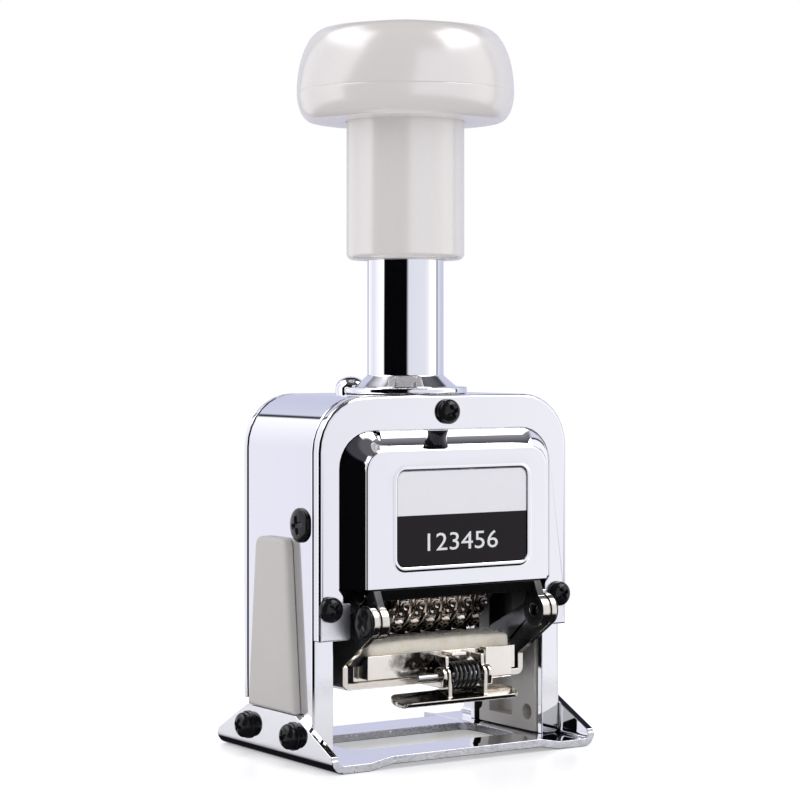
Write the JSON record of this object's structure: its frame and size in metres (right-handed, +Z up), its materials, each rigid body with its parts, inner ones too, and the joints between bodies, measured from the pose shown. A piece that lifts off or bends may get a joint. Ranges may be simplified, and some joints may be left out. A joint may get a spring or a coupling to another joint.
{
  "type": "numbering machine",
  "caption": "Hand-operated numbering machine: off-white knob on a chrome stem, chrome arched casing, front cover with label, number wheels, swinging ink pad and a slotted base.",
  "frame": {"origin": "centre of the base's footprint on the paper, on the underside of the base", "axes": "+Z up along the stem, -Y is the front with the label and the ink pad, +X to the right as seen from the front"},
  "size_m": [0.0766, 0.0501, 0.1659],
  "materials": {
    "chrome": "bright chrome plate",
    "cover_chrome": "bright chrome plate on pressed sheet",
    "nickel": "warm bright nickel plate",
    "steel": "turned steel",
    "dark_steel": "dark blued steel",
    "black_screw": "gloss black screws",
    "spring_black": "black spring wire",
    "spring_steel": "spring wire",
    "knob_plastic": "gloss moulded plastic, warm off-white",
    "side_plastic": "satin moulded plastic, warm grey",
    "label": "satin printed plate, white over black",
    "felt": "dense pressed felt"
  },
  "bodies": {
    "frame": {"base_plate": "chrome", "base_screws": "black_screw", "base_washers": "black_screw", "casing": "chrome", "front_plate": "chrome", "front_plate_screws": "black_screw", "front_cover": "cover_chrome", "label_plate": "label", "oil_hole_bush": "steel", "back_plate": "chrome", "back_plate_screws": "black_screw", "side_insert_left": "side_plastic", "side_insert_right": "side_plastic", "side_screws": "black_screw", "stem": "chrome", "stem_nut": "steel", "pad_hanger": "chrome", "pad_pivot_screws": "black_screw", "pad_pivot_washers": "nickel"},
    "lock_button": {"lock_button": "chrome"},
    "head": {"knob": "knob_plastic", "knob_sleeve": "knob_plastic", "plunger_rod": "steel", "return_spring": "spring_steel", "head_yoke": "nickel", "head_cheek_left": "nickel", "head_cheek_right": "nickel", "cheek_screws": "dark_steel", "wheel_axle": "steel", "axle_clips": "dark_steel", "head_tie_rods": "steel", "detent_comb": "dark_steel"},
    "wheel_1": {"number_wheel_1": "nickel"},
    "wheel_2": {"number_wheel_2": "nickel"},
    "wheel_3": {"number_wheel_3": "nickel"},
    "wheel_4": {"number_wheel_4": "nickel"},
    "wheel_5": {"number_wheel_5": "nickel"},
    "wheel_6": {"number_wheel_6": "nickel"},
    "feed_rocker": {"feed_rocker": "dark_steel", "feed_pawl": "dark_steel"},
    "pad_carrier": {"pad_carrier": "nickel", "pad_tray": "nickel", "felt_pad": "felt", "clip_pin": "steel", "clip_spring": "spring_black"},
    "clip_lever": {"clip_lever": "nickel"}
  },
  "joints": [
    {"name": "head_slide", "type": "slide", "parent": "frame", "child": "head", "axis": [0, 0, -1], "range_m": [0, 0.0262], "stiffness_N_per_m": 500, "springref_m": -0.012, "deforming": ["return_spring"]},
    {"name": "pad_swing", "type": "hinge", "parent": "frame", "child": "pad_carrier", "pos_m": [0, -0.0213, 0.03145], "axis": [-1, 0, 0], "range_deg": [0, 121]},
    {"name": "wheel_1_spin", "type": "hinge", "parent": "head", "child": "wheel_1", "pos_m": [0, -0.0075, 0.0358], "axis": [1, 0, 0], "continuous": true},
    {"name": "wheel_2_spin", "type": "hinge", "parent": "head", "child": "wheel_2", "pos_m": [0, -0.0075, 0.0358], "axis": [1, 0, 0], "continuous": true},
    {"name": "wheel_3_spin", "type": "hinge", "parent": "head", "child": "wheel_3", "pos_m": [0, -0.0075, 0.0358], "axis": [1, 0, 0], "continuous": true},
    {"name": "wheel_4_spin", "type": "hinge", "parent": "head", "child": "wheel_4", "pos_m": [0, -0.0075, 0.0358], "axis": [1, 0, 0], "continuous": true},
    {"name": "wheel_5_spin", "type": "hinge", "parent": "head", "child": "wheel_5", "pos_m": [0, -0.0075, 0.0358], "axis": [1, 0, 0], "continuous": true},
    {"name": "wheel_6_spin", "type": "hinge", "parent": "head", "child": "wheel_6", "pos_m": [0, -0.0075, 0.0358], "axis": [1, 0, 0], "continuous": true},
    {"name": "feed_swing", "type": "hinge", "parent": "head", "child": "feed_rocker", "pos_m": [0, -0.0075, 0.0358], "axis": [1, 0, 0], "range_deg": [0, 36.5]},
    {"name": "clip_press", "type": "hinge", "parent": "pad_carrier", "child": "clip_lever", "pos_m": [0.003, -0.0188, 0.01795], "axis": [1, 0, 0], "range_deg": [0, 12], "stiffness_Nm_per_rad": 0.05, "springref_deg": -17.19},
    {"name": "lock_press", "type": "slide", "parent": "frame", "child": "lock_button", "axis": [0, 0, -1], "range_m": [0, 0.0025], "stiffness_N_per_m": 300, "springref_m": -0.002}
  ],
  "couplings": [
    {"joint": "pad_swing", "follows": "head_slide", "rad_per_m": 79.94},
    {"joint": "feed_swing", "follows": "head_slide", "rad_per_m": 23.98}
  ]
}
